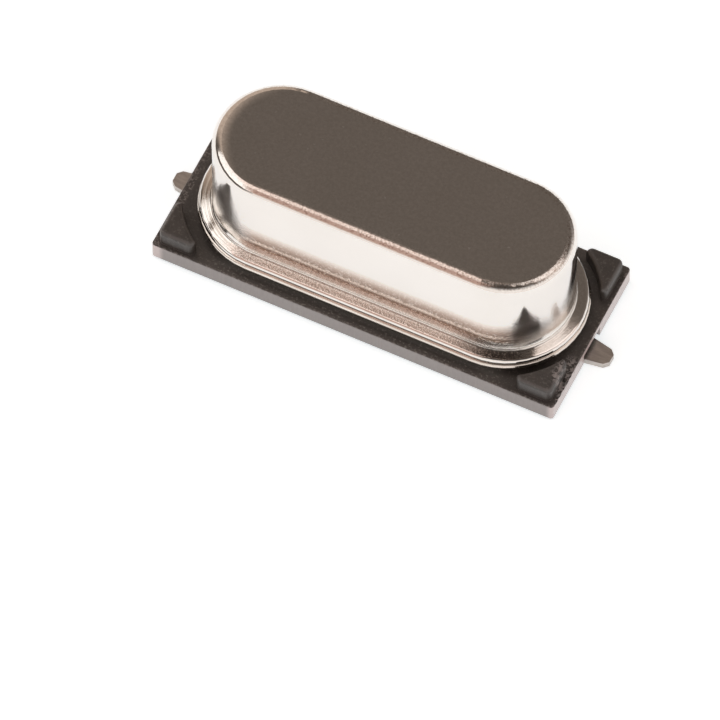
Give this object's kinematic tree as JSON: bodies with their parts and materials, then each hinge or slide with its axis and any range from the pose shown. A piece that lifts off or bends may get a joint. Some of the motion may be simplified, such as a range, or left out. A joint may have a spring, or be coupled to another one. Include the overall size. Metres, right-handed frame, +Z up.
{
  "type": "crystal oscillator",
  "caption": "Surface-mount quartz crystal: stadium-shaped metal can on a welded header, over a black moulded base with flat solder leads.",
  "frame": {"origin": "under the middle of the metal can, on the board's surface under the lead feet", "axes": "+X along the package's length through both leads, +Y across it, +Z up from the board through the cover's flat top"},
  "size_m": [0.0124, 0.0046, 0.004],
  "materials": {
    "base": "fine-grained black moulding compound, smoother on its sides",
    "cover": "drawn nickel-silver sheet, satin with fine handling scuffs",
    "header": "nickel-plated, with a dull seam weld round its edge",
    "seal": "dark green sealing glass",
    "lead": "dull tin plating with scuffs",
    "clip": "rolled spring sheet",
    "quartz": "lapped, slightly frosted",
    "electrode": "evaporated silver",
    "adhesive": "cured silver-filled paste"
  },
  "bodies": {
    "root": {"insulator_base": "base", "header_plate": "header", "cover": "cover", "glass_seal_left": "seal", "glass_seal_right": "seal", "lead_left": "lead", "lead_right": "lead", "mounting_clip_left": "clip", "mounting_clip_right": "clip", "quartz_blank": "quartz", "electrode_top": "electrode", "electrode_bottom": "electrode", "adhesive_left": "adhesive", "adhesive_right": "adhesive"}
  },
  "joints": []
}
